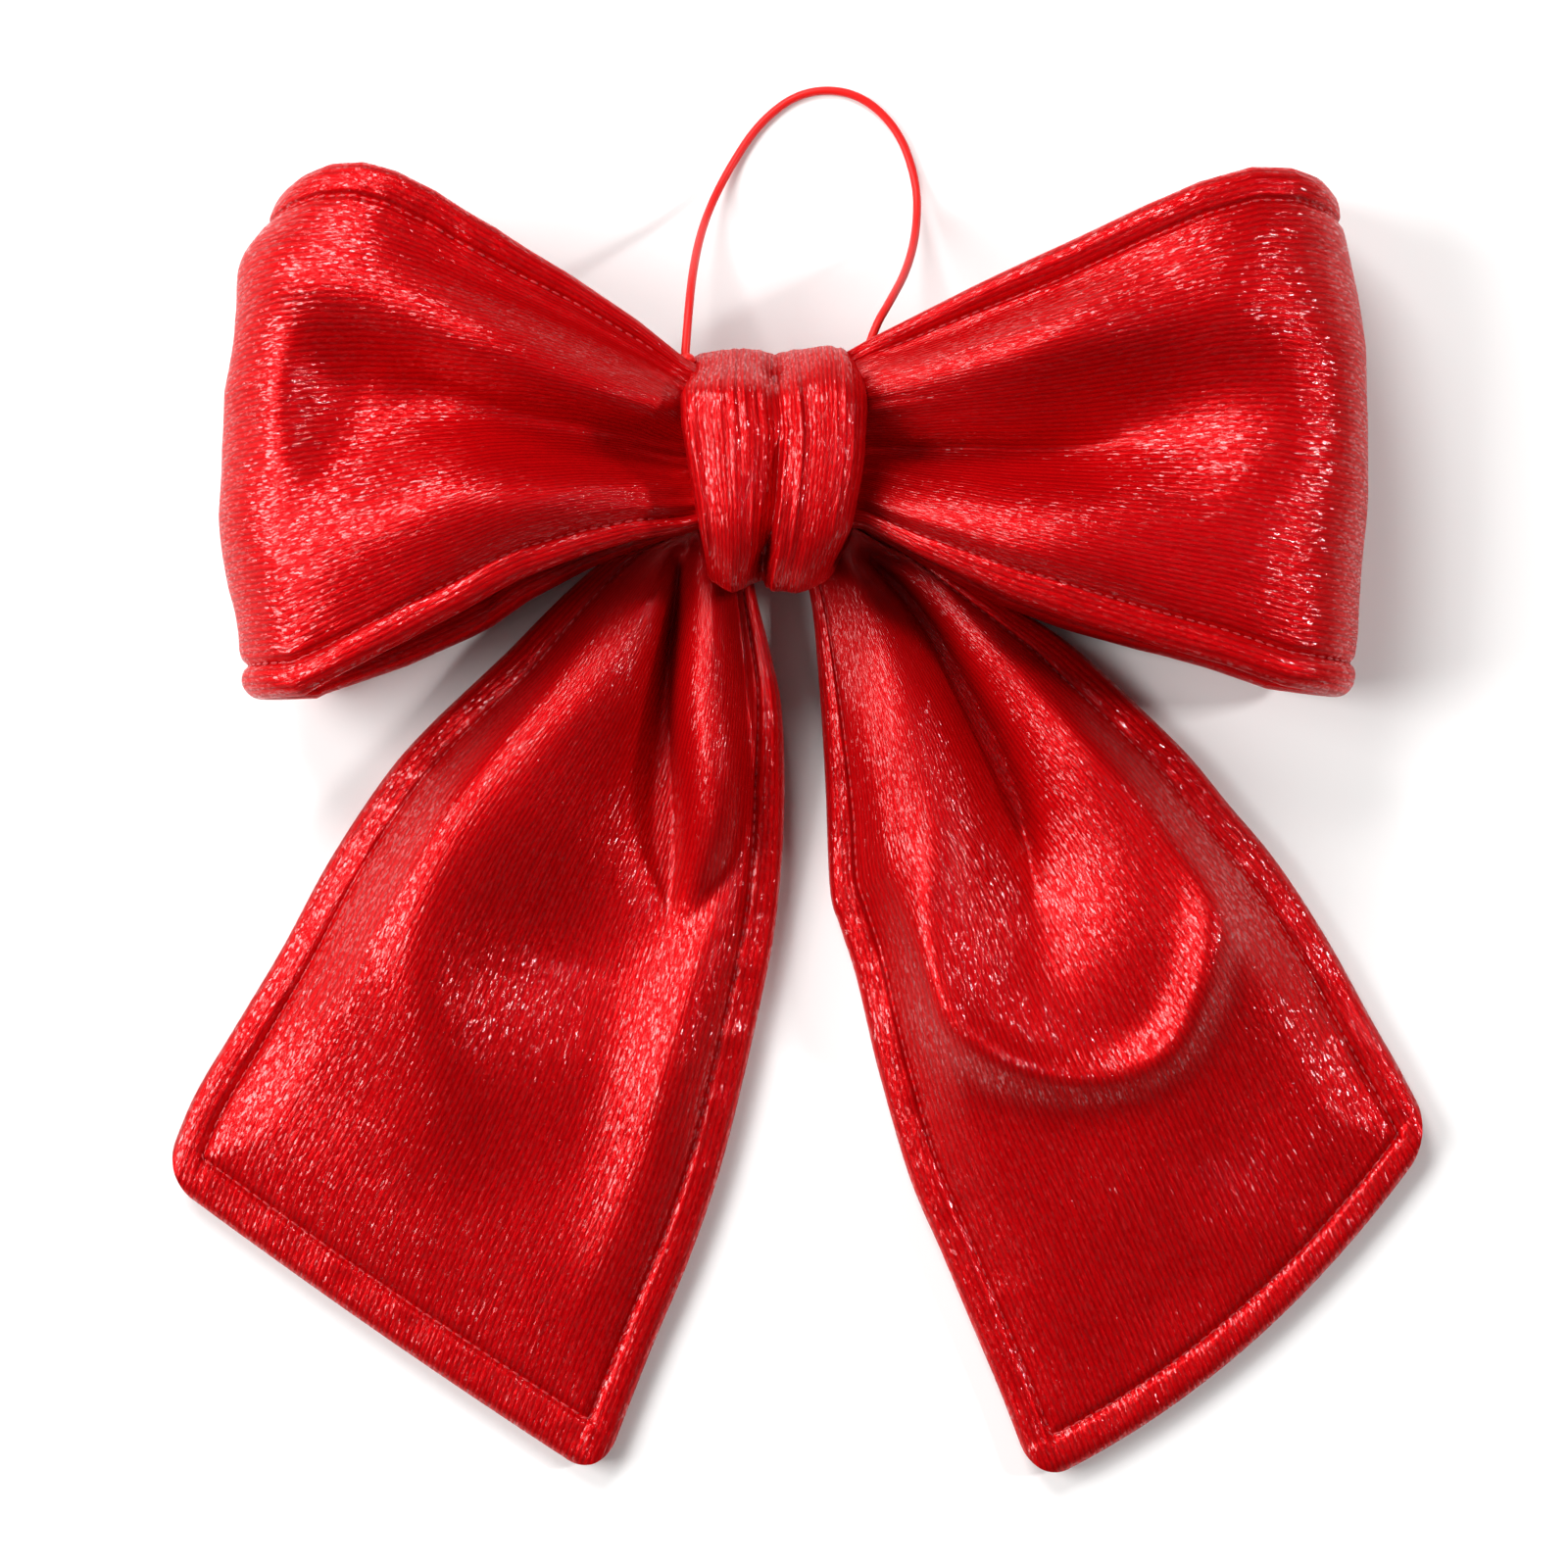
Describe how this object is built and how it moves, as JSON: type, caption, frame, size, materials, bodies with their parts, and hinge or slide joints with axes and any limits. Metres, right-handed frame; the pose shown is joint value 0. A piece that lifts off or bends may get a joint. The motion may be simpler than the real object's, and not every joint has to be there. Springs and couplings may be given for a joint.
{
  "type": "gift bow",
  "caption": "Padded red metallic-cloth gift bow with two loops, two splayed tails, a gathered centre band and a hanging cord, lying on its back.",
  "frame": {"origin": "middle of the flat back of the tail fold, behind the centre band", "axes": "+Z out of the bow's front, +Y towards the hanging cord, +X towards the right loop as seen from the front"},
  "size_m": [0.2595, 0.2941, 0.048],
  "materials": {
    "lame_cloth": "satin",
    "wadding": "matte",
    "thread": "satin",
    "cord": "satin"
  },
  "bodies": {
    "centre": {"knot_band_cloth": "lame_cloth", "knot_band_wadding": "wadding", "knot_band_lining": "lame_cloth", "knot_band_closing_stitches": "thread", "loop_neck": "lame_cloth", "gathering_thread": "thread", "tail_fold": "lame_cloth"},
    "left_loop": {"left_loop_outer_cloth": "lame_cloth", "left_loop_wadding": "wadding", "left_loop_lining_cloth": "lame_cloth", "left_loop_topstitch": "thread"},
    "right_loop": {"right_loop_outer_cloth": "lame_cloth", "right_loop_wadding": "wadding", "right_loop_lining_cloth": "lame_cloth", "right_loop_topstitch": "thread"},
    "left_tail": {"left_tail_front_cloth": "lame_cloth", "left_tail_wadding": "wadding", "left_tail_back_cloth": "lame_cloth", "left_tail_topstitch": "thread"},
    "right_tail": {"right_tail_front_cloth": "lame_cloth", "right_tail_wadding": "wadding", "right_tail_back_cloth": "lame_cloth", "right_tail_topstitch": "thread"},
    "hanger": {"hanging_cord": "cord", "hanging_cord_knots": "cord"}
  },
  "joints": [
    {"name": "left_loop_lift", "type": "hinge", "parent": "centre", "child": "left_loop", "pos_m": [-0.0285, 0, 0.03], "axis": [0, 1, 0], "range_deg": [0, 40]},
    {"name": "right_loop_lift", "type": "hinge", "parent": "centre", "child": "right_loop", "pos_m": [0.0285, 0, 0.03], "axis": [0, -1, 0], "range_deg": [0, 40]},
    {"name": "left_tail_swing", "type": "hinge", "parent": "centre", "child": "left_tail", "pos_m": [-0.009, -0.0185, 0], "axis": [0, 0, -1], "range_deg": [-4, 10]},
    {"name": "right_tail_swing", "type": "hinge", "parent": "centre", "child": "right_tail", "pos_m": [0.009, -0.0185, 0], "axis": [0, 0, 1], "range_deg": [-4, 10]},
    {"name": "hanger_lift", "type": "hinge", "parent": "centre", "child": "hanger", "pos_m": [0, 0.0215, 0.032], "axis": [1, 0, 0], "range_deg": [0, 90]}
  ]
}
